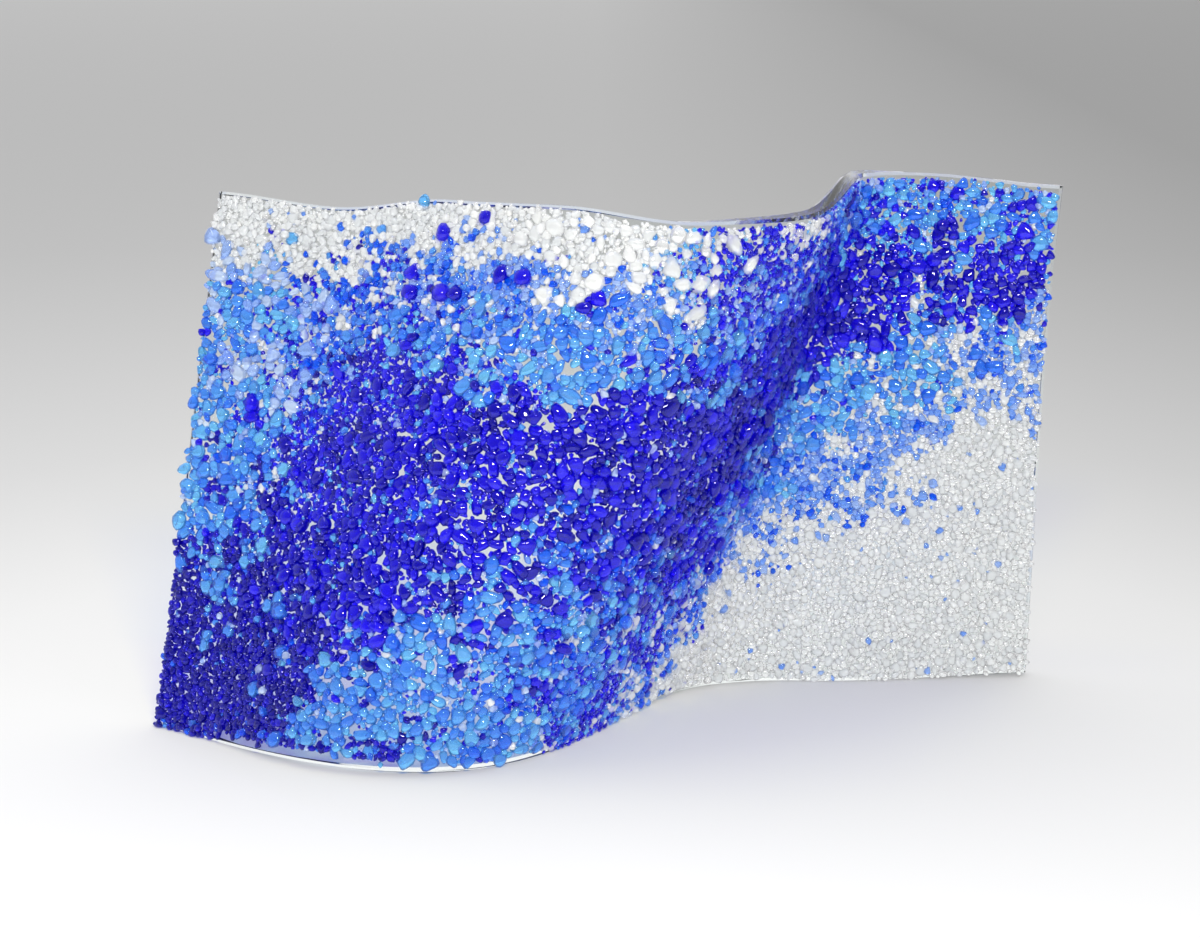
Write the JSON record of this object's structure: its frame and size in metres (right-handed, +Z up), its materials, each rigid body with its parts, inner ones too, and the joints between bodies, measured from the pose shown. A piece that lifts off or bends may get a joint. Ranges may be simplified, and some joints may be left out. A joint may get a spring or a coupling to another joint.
{
  "type": "glass wave sculpture",
  "caption": "Free-standing wave of slumped clear glass with blue and white frit fused on its front.",
  "frame": {"origin": "centre of the bounding box on the table plane", "axes": "+X along the wave to the viewer's right, +Y away from the grainy front, +Z up"},
  "size_m": [0.2558, 0.098, 0.1506],
  "materials": {
    "clear_glass": "clear float glass, fire-polished",
    "white_glass": "glossy opal white and clear frit, tack-fused",
    "pale_blue_glass": "glossy pale periwinkle blue frit, tack-fused",
    "sky_blue_glass": "glossy transparent sky blue frit, tack-fused",
    "cobalt_glass": "glossy transparent cobalt blue frit, tack-fused"
  },
  "bodies": {
    "root": {"clear_sheet": "clear_glass", "cobalt_coarse_frit": "cobalt_glass", "cobalt_fine_frit": "cobalt_glass", "cobalt_medium_frit": "cobalt_glass", "pale_blue_coarse_frit": "pale_blue_glass", "pale_blue_fine_frit": "pale_blue_glass", "pale_blue_medium_frit": "pale_blue_glass", "sky_blue_coarse_frit": "sky_blue_glass", "sky_blue_fine_frit": "sky_blue_glass", "sky_blue_medium_frit": "sky_blue_glass", "white_coarse_frit": "white_glass", "white_fine_frit": "white_glass", "white_medium_frit": "white_glass"}
  },
  "joints": []
}
